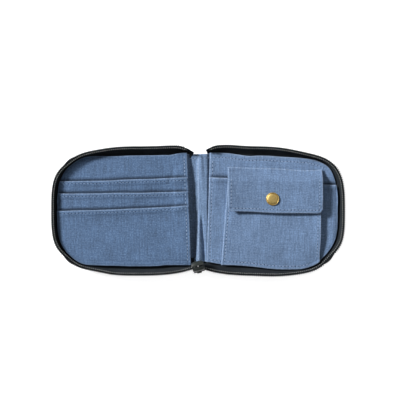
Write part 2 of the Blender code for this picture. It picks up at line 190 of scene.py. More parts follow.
def outline_points(near_bottom, near_top):
    """The card half's zip line, from the spine's bottom end round to its top end."""
    reach = HALF_LENGTH - ROUND_START
    points = []
    straight = 60
    turns = 160
    for i in range(straight):
        x = -near_bottom - (ROUND_START - near_bottom) * i / straight
        points.append(Vector((x, bottom_run(x))))
    for i in range(turns + 1):
        across, along = squared(-math.pi / 2 + math.pi * i / turns, ROUND_POWER)
        height = TOP if along > 0 else BOTTOM
        points.append(Vector((-ROUND_START - reach * across, height * along)))
    for i in range(1, straight + 1):
        x = -ROUND_START + (ROUND_START - near_top) * i / straight
        points.append(Vector((x, top_run(x))))
    return points


def resample(points, step):
    """The same open path with points an equal distance apart."""
    lengths = [0.0]
    for a, b in zip(points, points[1:]):
        lengths.append(lengths[-1] + (b - a).length)
    count = max(2, round(lengths[-1] / step))
    at = np.linspace(0, lengths[-1], count + 1)
    axes = [np.interp(at, lengths, [p[k] for p in points]) for k in range(len(points[0]))]
    return [Vector(values) for values in zip(*axes)]


def directions(points):
    """Where a path heads at each of its points, as vectors of any length."""
    return [b - a for a, b in zip(points[:1] + points, points[1:] + points[-1:])]


def inward(points):
    return [Vector((along.y, -along.x)).normalized() for along in directions(points)]


class Outline:
    """Lower and upper edge of a half's layer as functions of the distance from the spine."""

    def __init__(self, inset):
        line = resample(outline_points(0.5, 0.5), 0.5)
        line = [p + n * (inset(p) if callable(inset) else inset)
                for p, n in zip(line, inward(line))]
        split = min(range(len(line)), key=lambda i: line[i].x)
        lower = sorted((-p.x, p.y) for p in line[:split + 1])
        upper = sorted((-p.x, p.y) for p in line[split:])
        self.lower = np.array(lower).T
        self.upper = np.array(upper).T
        self.reach = -line[split].x

    def edges(self, short=0.0):
        return self.low, self.high, self.reach - short

    def low(self, x):
        return float(np.interp(abs(x), *self.lower))

    def high(self, x):
        return float(np.interp(abs(x), *self.upper))


def wall_width(p, side):
    """Plan width of the black zip wall: wide on the straight runs, narrow in the corners."""
    across = abs(p.x)
    corner, end = WALL_NARROW[side]
    narrow = corner + (end - corner) * smooth(across, 103, 110)
    return WALL_STRAIGHT + (narrow - WALL_STRAIGHT) * smooth(across, 60, 92)


def cover_inset(p, side):
    """The cover shows beyond the teeth where the wall leans in at a corner."""
    if side < 0:
        return COVER_INSET - COVER_SLIVER * bell(p.x, -99, 7.5)
    return COVER_INSET - (COVER_SLIVER * bell(p.x, -101, 7) if p.y < 0 else 0)


PANELS = {side: Outline(lambda p: wall_width(p, side)) for side in HALVES}
LININGS = {side: Outline(lambda p: wall_width(p, side) - 0.4) for side in HALVES}
COVERS = {side: Outline(lambda p: cover_inset(p, side)) for side in HALVES}


def panel_low(x):
    """Lower edge of the inner layers, nearly straight beside the spine."""
    edge = PANELS[math.copysign(1, x)].low(x)
    flat = -41.9 + (2.3 * smooth(24 - x, 0, 16) if x > 0 else 0)
    return edge + (flat - edge) * smooth(32 - abs(x), 0, 8)


def panel_high(x):
    """Upper edge of the inner layers, which climbs toward the spine."""
    edge = PANELS[math.copysign(1, x)].high(x)
    if x < 0:
        corner = 41.9 + 2.3 * smooth(x, -24, -10)
        return edge + (corner - edge) * smooth(x, -30, -20)
    corner = 44.0 - 0.078 * (x - 10)
    return edge + (corner - edge) * smooth(48 - x, 0, 12)


# ---- mesh helpers

def add_object(name, data):
    obj = bpy.data.objects.new(name, data)
    bpy.context.scene.collection.objects.link(obj)
    return obj


def add_mesh(name, bm, surface):
    bmesh.ops.recalc_face_normals(bm, faces=bm.faces)
    mesh = bpy.data.meshes.new(name)
    bm.to_mesh(mesh)
    bm.free()
    mesh.shade_smooth()
    mesh.materials.append(surface)
    return add_object(name, mesh)


def make(name, verts, faces, surface, uvs=None, wear=None, warp=settle):
    """A mesh object from millimetre points; uvs, and the edge wear, painted highlight and painted
    shade value, are given per point.
    """
    bm = bmesh.new()
    for x, y, z in verts:
        if warp:
            x, y = warp(x, y)
        bm.verts.new((x * MM, y * MM, z * MM))
    bm.verts.ensure_lookup_table()
    for face in faces:
        bm.faces.new([bm.verts[i] for i in face])
    obj = add_mesh(name, bm, surface)
    layer = obj.data.uv_layers.new(name="cloth")
    for loop in obj.data.loops:
        i = loop.vertex_index
        u, v = uvs[i] if uvs else verts[i][:2]
        layer.data[loop.index].uv = (u * MM, v * MM)
    if wear:
        # Stored attribute: above zero the edge is paler, partly wear and partly a painted
        # highlight; below zero it is painted shade.
        attribute = obj.data.attributes.new("wear", "FLOAT", "POINT")
        attribute.data.foreach_set("value", wear)
    return obj


def crowded(low, high, steps, squeeze=1.0):
    """Even steps between low and high, with extra places near both, for hems and seams."""
    offsets = [e * squeeze for e in EDGE_OFFSETS]
    first = low + offsets[-1]
    last = high - offsets[-1]
    middle = [first + (last - first) * k / steps for k in range(1, steps)]
    return [low + e for e in offsets] + middle + [high - e for e in reversed(offsets)]


def spaced(low, high, step):
    """Places from low to high about a step apart, crowded at both ends."""
    squeeze = min(1.0, (high - low) / (2.6 * EDGE_OFFSETS[-1]))
    inner = high - low - 2 * EDGE_OFFSETS[-1] * squeeze
    return crowded(low, high, max(2, round(inner / step)), squeeze)


def columns(left, right, step=CLOTH_STEP, round_left=False, round_right=False):
    """Column places of a sheet; a rounded end gets columns that crowd toward it."""
    xs = spaced(left, right, step)
    extra = (0.05, 0.12, 0.55, 1.05)
    if round_left:
        xs += [left + e for e in extra]
    if round_right:
        xs += [right - e for e in extra]
    return sorted(set(round(x, 4) for x in xs))


def spread_rows(low, high, pattern):
    """Fit a pattern of rows between low and high; its crowded ends keep their spacing."""
    share = (high - low) / pattern[-1]
    if share <= LEAST_SHARE:
        return [low + offset * share for offset in pattern]
    return crowded(low, high, len(pattern) - 2 * len(EDGE_OFFSETS) + 1)


def sheet(name, xs, low, high, top, surface, thickness=CLOTH, step=CLOTH_STEP, depth=None,
          warp=settle, shade=None):
    """A cloth layer with rounded edges.

    top(x, y, d) is the height of its upper face; d is (left, right, lower, upper) edge distance.
    depth(x, y, d) may thicken it, downward from the upper face.
    shade(x, y, d) is painted shade on the cloth's colour: 0 leaves it, 1 darkens it most.
    """
    pattern = spaced(0, max(high(x) - low(x) for x in xs), step)
    last_col = len(xs) - 1
    last_row = len(pattern) - 1
    verts = []
    wear = []
    upper = {}
    under = {}
    rim = {}

    def add(x, y, z, edge_wear_and_light):
        verts.append((x, y, z))
        wear.append(edge_wear_and_light)
        return len(verts) - 1

    for i, x in enumerate(xs):
        ys = spread_rows(low(x), high(x), pattern)
        for j, y in enumerate(ys):
            d = (x - xs[0], xs[-1] - x, y - ys[0], ys[-1] - y)
            z = top(x, y, d)
            deep = depth(x, y, d) if depth else thickness
            out_x = (i == last_col) - (i == 0)
            out_y = (j == last_row) - (j == 0)
            at_rim = out_x or out_y
            pinch = PINCH * deep if at_rim else 0.0
            # Edges are painted paler, partly as wear and partly as a fold highlight; shade takes
            # painted shade off this value.
            edge_wear_and_light = smooth(WEAR_AND_HIGHLIGHT_WIDTH - min(d), 0, WEAR_AND_HIGHLIGHT_WIDTH)
            if shade:
                edge_wear_and_light -= shade(x, y, d)
            upper[i, j] = add(x, y, z - pinch, edge_wear_and_light)
            under[i, j] = add(x, y, z - deep + pinch, edge_wear_and_light)
            if at_rim:
                out = ROUND_OUT * deep
                # The rounded rim gets the palest edge: partly wear, partly a painted highlight.
                rim[i, j] = add(x + out * out_x, y + out * out_y, z - deep / 2, 1.0)
    faces = []
    for i in range(last_col):
        for j in range(last_row):
            faces.append((upper[i, j], upper[i + 1, j], upper[i + 1, j + 1], upper[i, j + 1]))
            faces.append((under[i, j], under[i, j + 1], under[i + 1, j + 1], under[i + 1, j]))
    border = [(i, 0) for i in range(last_col)]
    border += [(last_col, j) for j in range(last_row)]
    border += [(i, last_row) for i in range(last_col, 0, -1)]
    border += [(0, j) for j in range(last_row, 0, -1)]
    for here, there in zip(border, border[1:] + border[:1]):
        faces.append((upper[there], upper[here], rim[here], rim[there]))
        faces.append((rim[there], rim[here], under[here], under[there]))
    return make(name, verts, faces, surface, wear=wear, warp=warp)


def circle(centre, first, second, radius, sides):
    """A ring of points about a centre, in the plane of two unit vectors."""
    angles = [2 * math.pi * k / sides for k in range(sides)]
    return [centre + (first * math.cos(a) + second * math.sin(a)) * radius for a in angles]


def add_rings(store, rings):
    """Add closed rings of points, joined one after another, to a (verts, faces) store."""
    verts, faces = store
    base = len(verts)
    count = len(rings[0])
    for ring in rings:
        verts.extend(tuple(p) for p in ring)
    for start in range(base, len(verts) - count, count):
        for k in range(count):
            a = start + k
            b = start + (k + 1) % count
            faces.append((a, b, b + count, a + count))
    faces.append(tuple(range(base + count - 1, base - 1, -1)))
    faces.append(tuple(range(len(verts) - count, len(verts))))


def loft(name, rings, surface, uvs=None):
    store = ([], [])
    add_rings(store, rings)
    flat_uvs = [uv for ring in uvs for uv in ring] if uvs else None
    return make(name, *store, surface, uvs=flat_uvs)


def fasten(obj, slot, nodes, attach, *where):
    """Hide the CAD nodes that a piece stands for and fix it to the frame with attach; the finish
    slot is not used.
    """
    if nodes:
        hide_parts(*nodes)
    attach(obj, *where)


def tree_of(obj):
    mesh = obj.data
    points = [v.co for v in mesh.vertices]
    return BVHTree.FromPolygons(points, [tuple(p.vertices) for p in mesh.polygons])


PROBE_Z = {False: 0.06, True: -0.05}
STITCH_DROP = 1.0
HOLE_DROP = 0.6


def rest_on(tree, x, y, below=False, warp=settle):
    """Surface point under a settled plan point, in millimetres."""
    if warp:
        x, y = warp(x, y)
    start = Vector((x * MM, y * MM, PROBE_Z[below]))
    hit = tree.ray_cast(start, Vector((0, 0, 1 if below else -1)))[0]
    return hit / MM if hit else None


ALONG_X, ALONG_Y, ALONG_Z = Matrix.Identity(3)
STITCH_RINGS = ((0, 0.35, -0.10), (0.12, 0.8, 0.06), (0.5, 1.0, 0.14), (0.88, 0.8, 0.06),
                (1, 0.35, -0.10))
# Rings of a dark disc: the painted shadow in a needle hole.
HOLE_SHADOW_RINGS = ((0.40, -0.05), (0.38, 0.03), (0.22, 0.06))


class Stitching:
    """Thread and painted needle-hole shadows of one sewn group, gathered into two meshes."""

    def __init__(self, name, thread=None, hole=None, pitch=2.7, length=1.75, radius=0.25):
        self.name = name
        self.surfaces = (thread or blue_thread, hole or needle_hole)
        self.pitch = pitch
        self.length = length
        self.radius = radius
        self.thread = ([], [])
        self.holes = ([], [])

    def stitch(self, start, end, normal):
        side = (end - start).cross(normal).normalized()
        rings = []
        for share, size, rise in STITCH_RINGS:
            centre = start + (end - start) * share + normal * rise
            rings.append(circle(centre, side, normal, self.radius * size, 6))
        add_rings(self.thread, rings)

    # A dark disc at a needle hole: painted shadow.
    def hole(self, centre, normal):
        add_rings(self.holes, [circle(centre + normal * rise, ALONG_X, ALONG_Y, size, 8)
                               for size, rise in HOLE_SHADOW_RINGS])

    def sew(self, tree, path, below=False, warp=settle):
        """Stitches along a plan path, resting on the surface that the tree holds."""
        normal = -ALONG_Z if below else ALONG_Z
        line = resample([Vector(p[:2]) for p in path], self.pitch)
        for a, b in zip(line, line[1:]):
            middle = (a + b) / 2
            half = (b - a).normalized() * self.length / 2
            start = rest_on(tree, middle.x - half.x, middle.y - half.y, below, warp)
            end = rest_on(tree, middle.x + half.x, middle.y + half.y, below, warp)
            if not start or not end or abs(start.z - end.z) > STITCH_DROP:
                continue
            self.stitch(start, end, normal)
            gap = rest_on(tree, b.x, b.y, below, warp)
            if gap and abs(gap.z - end.z) < HOLE_DROP:
                self.hole(gap, normal)

    def fasten(self, slot, attach, *where):
        """Make the threads and the painted hole shadows, and fix them to the frame."""
        for label, store, surface in zip(("_thread", "_holes"), (self.thread, self.holes),
                                         self.surfaces):
            if store[0]:
                piece = make(self.name + label, *store, surface, warp=None)
                fasten(piece, slot, (), attach, *where)


# ---- materials

class Graph:
    """A material's node tree, whose parts are added one by one and end at its shader."""

    def __init__(self, name, roughness=0.8, metallic=0.0):
        self.material = bpy.data.materials.new(name)
        self.material.use_nodes = True
        self.tree = self.material.node_tree
        self.shader = self.tree.nodes["Principled BSDF"]
        self.shader.inputs["Roughness"].default_value = roughness
        self.shader.inputs["Metallic"].default_value = metallic

    def put(self, node, inputs):
        """Set or link a node's inputs, which are named or counted; None leaves one alone."""
        for key, value in inputs.items():
            socket = node.inputs[key]
            if isinstance(value, bpy.types.NodeSocket):
                self.tree.links.new(value, socket)
            elif isinstance(value, tuple) and socket.type == "RGBA":
                socket.default_value = (*value, 1)
            elif value is not None:
                socket.default_value = value

    def add(self, kind, inputs=(), output=0, **settings):
        """Add a node and give back one of its outputs."""
        made = self.tree.nodes.new(kind)
        for key, value in settings.items():
            setattr(made, key, value)
        self.put(made, dict(inputs))
        return made.outputs[output]

    def math(self, operation, *values):
        return self.add("ShaderNodeMath", enumerate(values), operation=operation)

    def times(self, value, *factors):
        for factor in factors:
            value = self.math("MULTIPLY", value, factor)
        return value

    def wave(self, value, pitch):
        """Sine of a value, with its zeros a pitch apart."""
        return self.math("SINE", self.times(value, math.pi / pitch))

    def noise(self, vector, scale, detail=2.0, roughness=0.5):
        return self.add("ShaderNodeTexNoise", {
            "Vector": vector, "Scale": scale, "Detail": detail, "Roughness": roughness}, "Fac")

    def cloth_place(self):
        return self.add("ShaderNodeUVMap", uv_map="cloth")

    def solid_place(self):
        return self.add("ShaderNodeTexCoord", output="Object")

    def stretch(self, vector, scale):
        return self.add("ShaderNodeMapping", {"Vector": vector, "Scale": scale})

    def split(self, vector):
        return self.add("ShaderNodeSeparateXYZ", {"Vector": vector}).node.outputs[:2]

    def mix(self, factor, a, b, blend="MIX"):
        return self.add("ShaderNodeMix", {0: factor, 6: a, 7: b}, 2, data_type="RGBA",
                        blend_type=blend)

    def remap(self, value, low, high, to_low, to_high):
        return self.add("ShaderNodeMapRange", {
            "Value": value, "From Min": low, "From Max": high,
            "To Min": to_low, "To Max": to_high})

    def shade(self, colour, factor):
        """Multiply a colour by a grey factor."""
        grey = self.add("ShaderNodeCombineColor", enumerate([factor] * 3))
        return self.mix(1.0, colour, grey, "MULTIPLY")

    def bump(self, height, strength, distance, before=None):
        return self.add("ShaderNodeBump", {
            "Height": height, "Strength": strength, "Distance": distance, "Normal": before})

    def finish(self, colour, normal=None, roughness=None, **others):
        """Wire up the shader; others are further inputs, with _ for a space in their names."""
        self.put(self.shader, {"Base Color": colour, "Normal": normal, "Roughness": roughness})
        self.put(self.shader, {name.replace("_", " "): others[name] for name in others})
        return self.material


def plain_weave(graph, vector, pitch):
    """Height of a plain weave: yarns that pass over and under each other."""
    cross = graph.times(*(graph.wave(part, pitch) for part in graph.split(vector)))
    ridges = graph.math("ABSOLUTE", cross)
    over = graph.math("MULTIPLY_ADD", cross, 0.35, 0.35)
    return graph.math("ADD", graph.times(ridges, 0.5), over)


# Colour factor at the deepest painted shade.
DEEPEST_PAINTED_SHADE = 0.12


def woven(name, colour, pale, pitch, contrast=0.12, bump=0.6, sheen=0.15, roughness=0.85):
    """Woven cloth: weave, uneven yarns, mottling, edges paler partly from wear and partly as a
    painted highlight, and painted shade.
    """
    graph = Graph(name, roughness)
    uv = graph.cloth_place()
    weave = plain_weave(graph, uv, pitch)
    yarns = 1 / pitch
    warp = graph.noise(graph.stretch(uv, (yarns * 0.5, yarns * 0.04, 1)), 1.0, 2.0)
    weft = graph.noise(graph.stretch(uv, (yarns * 0.05, yarns * 0.8, 1)), 1.0, 1.0)
    specks = graph.noise(uv, 1 / (pitch * 2.2), 2.0, 0.7)
    clouds = graph.noise(uv, 70.0, 3.0)
    factor = graph.remap(weave, 0.0, 1.2, 1 - contrast, 1 + contrast * 0.5)
    for source, amount in ((warp, contrast * 1.9), (weft, contrast * 1.3),
                           (specks, contrast * 2.0), (clouds, contrast * 0.9)):
        factor = graph.times(factor, graph.remap(source, 0.25, 0.75, 1 - amount, 1 + amount))
    tint = graph.mix(graph.remap(specks, 0.45, 0.7, 0.0, 0.35), colour, pale)
    # Paler edges, partly wear and partly a painted fold highlight; values below zero darken the
    # colour as painted shade.
    wear = graph.add("ShaderNodeAttribute", output="Fac", attribute_name="wear")
    edge_wear_and_light = graph.times(wear, graph.remap(specks, 0.3, 0.6, 0.45, 0.9))
    tint = graph.mix(edge_wear_and_light, tint, pale)
    # Painted shade: the attribute below zero darkens the colour down to the deepest factor.
    tint = graph.shade(tint, graph.times(factor, graph.remap(wear, -1.0, 0.0, DEEPEST_PAINTED_SHADE, 1.0)))
    fuzz = graph.noise(uv, 1 / (pitch * 0.7), 2.0, 0.7)
    normal = graph.bump(weave, bump, pitch * 0.35)
    normal = graph.bump(fuzz, bump * 0.5, pitch * 0.25, normal)
    return graph.finish(tint, normal, Sheen_Weight=sheen, Sheen_Roughness=0.5)


def ribbed_tape(name, colour, ribs=0.0006, picks=0.0005):
    """Zip tape: fine ribs along its length and finer picks across, of these pitches."""
    graph = Graph(name, 0.7)
    uv = graph.cloth_place()
    along, across = graph.split(uv)
    fine = graph.times(graph.wave(along, picks / 2), 0.5)
    height = graph.math("ADD", graph.wave(across, ribs / 2), fine)
    mottle = graph.noise(uv, 900.0, 2.0, 0.7)
    clouds = graph.noise(uv, 90.0, 2.0)
    factor = graph.times(graph.remap(height, -1.5, 1.5, 0.75, 1.25),
                         graph.remap(mottle, 0.3, 0.7, 0.8, 1.2),
                         graph.remap(clouds, 0.3, 0.7, 0.85, 1.15))
    return graph.finish(graph.shade(colour, factor), graph.bump(height, 0.5, 0.0001),
                        Specular_IOR_Level=0.12)


def yarn(name, colour, roughness=0.7, gloss=0.5):
    """Sewing thread or coil filament: a slight colour change along it and a fine twist."""
    graph = Graph(name, roughness)
    place = graph.solid_place()
    uneven = graph.noise(place, 700.0, 2.0)
    fine = graph.noise(place, 4000.0, 1.0)
    tint = graph.shade(colour, graph.remap(uneven, 0.3, 0.7, 0.8, 1.2))
    return graph.finish(tint, graph.bump(fine, 0.3, 0.0001), Specular_IOR_Level=gloss)


def metal(name, colour, dark, roughness, scratch=0.15):
    """Plated metal: tarnish in soft clouds, fine scratches that break up the shine."""
    graph = Graph(name, roughness, 1.0)
    place = graph.solid_place()
    clouds = graph.noise(place, 600.0, 4.0, 0.6)
    lines = graph.noise(graph.stretch(place, (6000, 500, 500)), 1.0, 2.0)
    tint = graph.mix(graph.remap(clouds, 0.45, 0.75, 0.0, 0.8), colour, dark)
    rough = graph.remap(lines, 0.3, 0.7, roughness - scratch * 0.5, roughness + scratch)
    return graph.finish(tint, graph.bump(clouds, 0.15, 0.0001), rough)


def enamel(name, colour, edge):
    """Dark enamel on zinc: slight orange peel, rubbed paler where it is handled."""
    graph = Graph(name, 0.42, 0.0)
    place = graph.solid_place()
    peel = graph.noise(place, 1800.0, 2.0)
    rubbed = graph.noise(place, 500.0, 4.0, 0.6)
    tint = graph.mix(graph.remap(rubbed, 0.55, 0.75, 0.0, 0.6), colour, edge)
    rough = graph.remap(rubbed, 0.3, 0.7, 0.36, 0.52)
    return graph.finish(tint, graph.bump(peel, 0.2, 0.0001), rough, Coat_Weight=0.15)


def felt(name, colour):
    """Pressed interlining: random fibres."""
    graph = Graph(name, 0.95)
    place = graph.solid_place()
    fibres = graph.noise(graph.stretch(place, (900, 300, 900)), 1.0, 4.0, 0.7)
    tint = graph.shade(colour, graph.remap(fibres, 0.3, 0.7, 0.8, 1.15))
    return graph.finish(tint, graph.bump(fibres, 0.5, 0.0002))


CANVAS_PITCH = 0.00052
CANVAS = (0.141, 0.232, 0.400)
CANVAS_PALE = (0.280, 0.385, 0.560)
canvas = woven("blue_canvas", CANVAS, CANVAS_PALE, CANVAS_PITCH)
# The card half's canvas is a darker copy of the same cloth: painted shade.
canvas_card_painted_shade = woven("blue_canvas_card", (0.077, 0.145, 0.272), (0.185, 0.275, 0.43), CANVAS_PITCH)
canvas_lining = woven("blue_lining", (0.125, 0.205, 0.345), CANVAS_PALE, CANVAS_PITCH)
nylon = woven("black_nylon", (0.030, 0.034, 0.040), (0.095, 0.100, 0.108), 0.00042,
              contrast=0.2, bump=0.5, sheen=0.35, roughness=0.6)
tape_cloth = ribbed_tape("zip_tape_cloth", (0.0215, 0.0265, 0.0320))
coil_nylon = yarn("coil_nylon", (0.008, 0.010, 0.011), 0.40, 0.14)
# The coil's sewing thread, coloured pale grey as painted highlights on the sewn loops.
coil_thread = yarn("coil_thread", (0.50, 0.51, 0.50), 0.6, 0.2)
blue_thread = yarn("blue_thread", (0.320, 0.420, 0.580))
mouth_thread = yarn("mouth_thread", (0.175, 0.265, 0.410))
# Dark discs at the needle holes: painted shadow.
needle_hole = yarn("needle_hole", (0.026, 0.045, 0.090), 0.95)
black_thread = yarn("black_thread", (0.055, 0.058, 0.064))
# Dark discs at the cover's needle holes: painted shadow.
black_hole = yarn("black_hole", (0.006, 0.006, 0.007), 0.95)
brass = metal("antique_brass", (0.76, 0.56, 0.21), (0.50, 0.35, 0.12), 0.46, 0.1)
slider_enamel = enamel("slider_enamel", (0.020, 0.025, 0.023), (0.060, 0.066, 0.062))
interlining = felt("interlining", (0.55, 0.53, 0.48))


# ---- cloth heights

def ripple(x, y, seed):
    broad = noise.noise(Vector((x / 24, y / 24, seed)))
    fine = noise.noise(Vector((x / 8, y / 8, seed + 5)))
    return 0.28 * broad + 0.10 * fine


def groove(distance, inset=SEAM_INSET, depth=0.22):
    """A seam pulls the cloth down along its line."""
    return -depth * bell(distance, inset, SEAM_WIDTH)


def hem(distance, depth=HEM_DEPTH):
    """The cloth is doubled over as far as depth from its edge."""
    return HEM * smooth(depth - distance, 0, 0.6)


CARD_EDGE = FOLD_X + 0.7
CARD_LEFT = -PANELS[-1].reach + EDGE_GAP
RAISE = 0.8
TENSION_X = -21.0
POCKET_TIERS = (
    ("card_pocket_upper", 22.7, 25.2),
    ("card_pocket_middle", 12.7, 14.4),
    ("card_pocket_lower", -0.4, 3.6),
)


def card_lie(x, y):
    """How the stack of card layers lies: rippled, its free edge at the spine lifted."""
    lift = 1.9 * smooth(x, -30, -CARD_EDGE) * smooth(47 - abs(y), 2, 22)
    sag = -0.4 * smooth(x, -60, -104)
    pull = 0.0
    for _, _, right_y in POCKET_TIERS:
        across = x - TENSION_X - 0.25 * (y - right_y)
        pull -= 0.45 * bell(across, 0, 1.8) * bell(y, right_y, 6)
        pull += 0.35 * bell(across, 4, 2.2) * bell(y, right_y, 6)
    return RAISE + lift + sag + pull + 1.3 * ripple(x, y, 1.3)


def coin_lie(x, y):
    lift = 0.8 * smooth(22 - x, 0, 13)
    return 0.5 * RAISE * smooth(95 - x, 0, 12) + lift + ripple(x, y, 4.1)


def bend(obj, side, inner=4.05, outer=4.05):
    """Bake a piece's transform into its mesh; side, inner before the fold and outer after it are
    not used.
    """
    if side < 0:
        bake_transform(obj)
    else:
        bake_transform(obj)


def drape(obj, side):
    """For a loose inner edge that hangs over the fold: bake the piece's transform through bend.
    """
    bend(obj, side, 1.6, 2.6)


def half_cloth(name, node, slot, side, edges, ends, z_top, surface, thickness, lie,
               warp=settle):
    """A layer of the cover, lining or bill wall, from a half's outer end to the spine's middle.

    edges are its lower edge, upper edge and reach; ends are the lower and upper edge of its
    narrow part between the folds.
    """
    def narrowed(edge, end):
        def place(x):
            neck = smooth(abs(x), *NECK)
            return end + (edge(x if x else side * 0.01) - end) * neck
        return place

    low, high, reach = edges
    outer = columns(FINE_SPINE, reach - EDGE_GAP, COARSE_STEP, round_right=True)
    fine = np.arange(0, FINE_SPINE, 0.5).tolist()
    xs = sorted(side * x for x in fine + outer)
    label = "_" + HALVES[side]
    obj = sheet(name + label, xs, narrowed(low, ends[0]), narrowed(high, ends[1]),
                lambda x, y, d: z_top + lie(x, y, d), surface, thickness, COARSE_STEP,
                warp=warp)
    fasten(obj, slot, [node + label] + ([node + "_spine"] if side > 0 else []), bend, side)
    return obj


SPINE_LOW = span("bill_wall_spine")[0].y - 1.1
SPINE_HIGH = span("bill_wall_spine")[1].y + 1.1


def spine_folds(x, y):
    """Soft folds in the spine's cloth: a valley beside the cards that a pleat splits below."""
    wander = 0.5 * noise.noise(Vector((0, y / 14, 2)))
    inside = smooth(FOLD_X + 0.8 - abs(x), 0, 2.2)
    below = smooth(-4 - y, 0, 32)
    above = smooth(y, 10, 34)
    slope = 2.2 * smooth(x, -6.5, 7.5) - 0.8
    valley = -1.1 * bell(x, -4.8, 3.2) * (1 - 0.45 * above)
    ridge = (0.6 + 1.9 * below) * bell(x, 0.9 - 0.6 * below + wander, 0.9 + 1.7 * below)
    ridge *= smooth(2 - y, 0, 8)
    crease = -1.5 * bell(x, 2.8 + 2.0 * below + wander, 0.9) * smooth(-2 - y, 0, 10)
    upper = 0.8 * bell(x, 3.2 - 0.05 * (y - 20), 1.3) * above - 0.8 * bell(x, -1.6, 1.5) * above
    relief = slope + valley + ridge + crease + upper + 0.5 * ripple(x * 2, y, 8.8)
    return inside * relief


# ---- build the halves

def build_cover():
    def lie(x, y, d):
        rim = min(d[2], d[3], d[1] if x > 0 else d[0])
        return 1.5 * smooth(3.2 - rim, 0, 3.2) * smooth(abs(x), 12, 20)

    for side, label in HALVES.items():
        obj = half_cloth("outer_cover", "cover", "outer_nylon", side, COVERS[side].edges(),
                         (SPINE_LOW, SPINE_HIGH - 0.4), COVER_TOP, nylon, 0.8, lie, warp=soften)
        tree = tree_of(obj)
        sewing = Stitching("cover_stitching_" + label, black_thread, black_hole, 2.8, 2.1, 0.17)
        border = outline_points(15, 15)
        border = [p + n * (COVER_INSET + COVER_SEAM) for p, n in zip(border, inward(border))]
        fold = side * FOLD_SEAM
        for line in ([(-side * p.x, p.y) for p in border], [(fold, -38), (fold, 41)]):
            sewing.sew(tree, line, below=True, warp=soften)
        sewing.fasten("outer_nylon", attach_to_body, label + "_half")


def build_linings():
    def folded(x, y, d):
        seam = groove(d[3], SPINE_SEAM, 0.3) * smooth(FOLD_X + 2 - abs(x), 0, 2)
        doubled = 0.35 * smooth(4.2 - d[3], 0, 0.7)
        return spine_folds(x, y) + seam + doubled - 0.8 * smooth(abs(x), 10, 16)

    def sunk(x, y, d):
        return -0.5 * smooth(FINE_SPINE - abs(x), 0, 5)

    ends = (SPINE_LOW, SPINE_HIGH)
    for side, label in HALVES.items():
        half_cloth("interlining", "stiffener", "stiffener", side, LININGS[side].edges(1.0),
                   (SPINE_LOW + 1, SPINE_HIGH - 1), STIFF_TOP, interlining,
                   STIFF_TOP - COVER_TOP - 0.1, sunk)
        half_cloth("lining_cloth", "lining", "blue_canvas", side, LININGS[side].edges(), ends,
                   LINING_TOP - 0.3, canvas_lining, 0.25, sunk)
        wall = half_cloth("bill_wall_cloth", "bill_wall", "blue_canvas", side,
                          (panel_low, panel_high, PANELS[side].reach), ends, BILL_TOP - 0.05,
                          canvas_lining, 0.4, folded)
        sewing = Stitching("spine_hem_" + label)
        ends_x = sorted((side * 0.8, side * 9.5))
        sewing.sew(tree_of(wall), [(x, SPINE_HIGH - SPINE_SEAM) for x in ends_x])
        sewing.fasten("blue_canvas", bend, side)


LAYER_STEP = 0.62
MOUTH_DIP = 1.6
MOUTH_GAPE = 0.8


def tier_mouth(left_y, right_y):
    """Upper edge of a card pocket, as a function of x."""
    def mouth(x):
        share = max(0.0, (x - CARD_LEFT) / (-CARD_EDGE - CARD_LEFT))
        wobble = 0.35 * noise.noise(Vector((x / 17, left_y, 3)))
        return min(left_y + (right_y - left_y) * share ** 1.7 + wobble, panel_high(x))
    return mouth


def dip_behind(mouths, x, y):
    """Layers sink where they pass behind the mouths of the pockets in front."""
    dip = max([bell(y, mouth(x) - 0.5, 1.9) for mouth in mouths], default=0.0)
    return -MOUTH_DIP * dip * smooth(abs(x) - CARD_EDGE, 0.5, 7)


def painted_shade(mouths, x, y, d, open_side):
    """Deep painted shade behind the mouths in front and beside the zip wall.

    d[open_side] is the distance from the edge at the spine, where there is no wall.
    """
    shade = 0.75 * max([bell(y, mouth(x) + 0.9, 1.0) for mouth in mouths], default=0.0)
    walls = [distance for k, distance in enumerate(d[:3]) if k != open_side]
    return max(shade, 0.5 * smooth(4.5 - walls[0], 0, 4.5), 0.25 * smooth(3 - walls[1], 0, 3))


